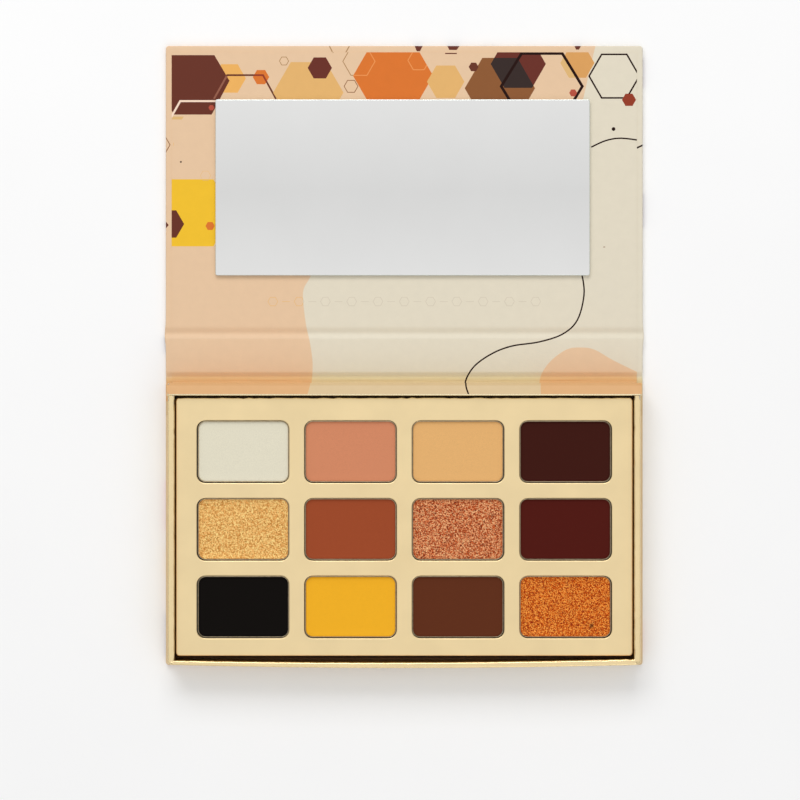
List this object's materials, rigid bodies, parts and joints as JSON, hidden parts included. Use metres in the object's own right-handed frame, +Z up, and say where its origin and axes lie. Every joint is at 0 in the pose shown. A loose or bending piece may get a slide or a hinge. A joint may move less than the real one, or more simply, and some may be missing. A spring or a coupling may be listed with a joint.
{
  "type": "eyeshadow palette",
  "caption": "Flat book-style makeup palette, opened out: a tray of rectangular powder pans, a narrow spine panel and a lid panel with a mirror, joined by two paper creases.",
  "frame": {"origin": "centre of the opened palette's footprint, on the surface that it lies on", "axes": "+X across the palette along the creases, +Y from the tray to the lid, +Z up out of the pans"},
  "size_m": [0.1452, 0.1886, 0.0107],
  "materials": {
    "printed_paper": "satin coated paper, printed in cream and peach with loose hexagons",
    "gold_foil_paper": "satin gold foil paper",
    "gold_card": "satin pale gold foiled card",
    "grey_board": "uncoated solid grey board",
    "adhesive_sheet": "white double-sided adhesive sheet",
    "pan_aluminium": "pressed, satin",
    "magnet_nickel": "nickel plated",
    "mirror_glass": "silvered glass",
    "powder_ivory": "matte pressed powder",
    "powder_terracotta_peach": "matte pressed powder",
    "powder_tan": "matte pressed powder",
    "powder_dark_cocoa": "matte pressed powder",
    "powder_gold_shimmer": "shimmering pressed powder with metallic flakes",
    "powder_rust": "matte pressed powder",
    "powder_copper_shimmer": "shimmering pressed powder with metallic flakes",
    "powder_burgundy": "matte pressed powder",
    "powder_black": "matte pressed powder",
    "powder_yellow": "matte pressed powder",
    "powder_brown": "matte pressed powder",
    "powder_amber_shimmer": "shimmering pressed powder with metallic flakes"
  },
  "bodies": {
    "base": {"base_board": "grey_board", "base_wrap": "printed_paper", "base_liner": "printed_paper", "front_wall_board": "grey_board", "left_wall_board": "grey_board", "right_wall_board": "grey_board", "rear_wall_board": "grey_board", "front_wall_wrap": "gold_foil_paper", "left_wall_wrap": "gold_foil_paper", "right_wall_wrap": "gold_foil_paper", "rear_wall_liner": "printed_paper", "insert_card": "gold_card", "pan_frame": "grey_board", "pan_bed": "grey_board", "pan_adhesive": "adhesive_sheet", "pan_1_1": "pan_aluminium", "pan_1_2": "pan_aluminium", "pan_1_3": "pan_aluminium", "pan_1_4": "pan_aluminium", "pan_2_1": "pan_aluminium", "pan_2_2": "pan_aluminium", "pan_2_3": "pan_aluminium", "pan_2_4": "pan_aluminium", "pan_3_1": "pan_aluminium", "pan_3_2": "pan_aluminium", "pan_3_3": "pan_aluminium", "pan_3_4": "pan_aluminium", "powder_1_1": "powder_ivory", "powder_1_2": "powder_terracotta_peach", "powder_1_3": "powder_tan", "powder_1_4": "powder_dark_cocoa", "powder_2_1": "powder_gold_shimmer", "powder_2_2": "powder_rust", "powder_2_3": "powder_copper_shimmer", "powder_2_4": "powder_burgundy", "powder_3_1": "powder_black", "powder_3_2": "powder_yellow", "powder_3_3": "powder_brown", "powder_3_4": "powder_amber_shimmer", "tray_magnet_left": "magnet_nickel", "tray_magnet_right": "magnet_nickel"},
    "spine": {"spine_board": "grey_board", "spine_wrap": "printed_paper", "spine_liner": "printed_paper"},
    "lid": {"lid_board": "grey_board", "lid_wrap": "printed_paper", "lid_liner": "printed_paper", "mirror": "mirror_glass", "mirror_tape": "adhesive_sheet", "lid_magnet_left": "magnet_nickel", "lid_magnet_right": "magnet_nickel"}
  },
  "joints": [
    {"name": "spine_fold", "type": "hinge", "parent": "base", "child": "spine", "pos_m": [0, -0.00625, 0.0002], "axis": [1, 0, 0], "range_deg": [0, 90]},
    {"name": "lid_fold", "type": "hinge", "parent": "spine", "child": "lid", "pos_m": [0, 0.00625, 0.0002], "axis": [1, 0, 0], "range_deg": [0, 90]}
  ]
}
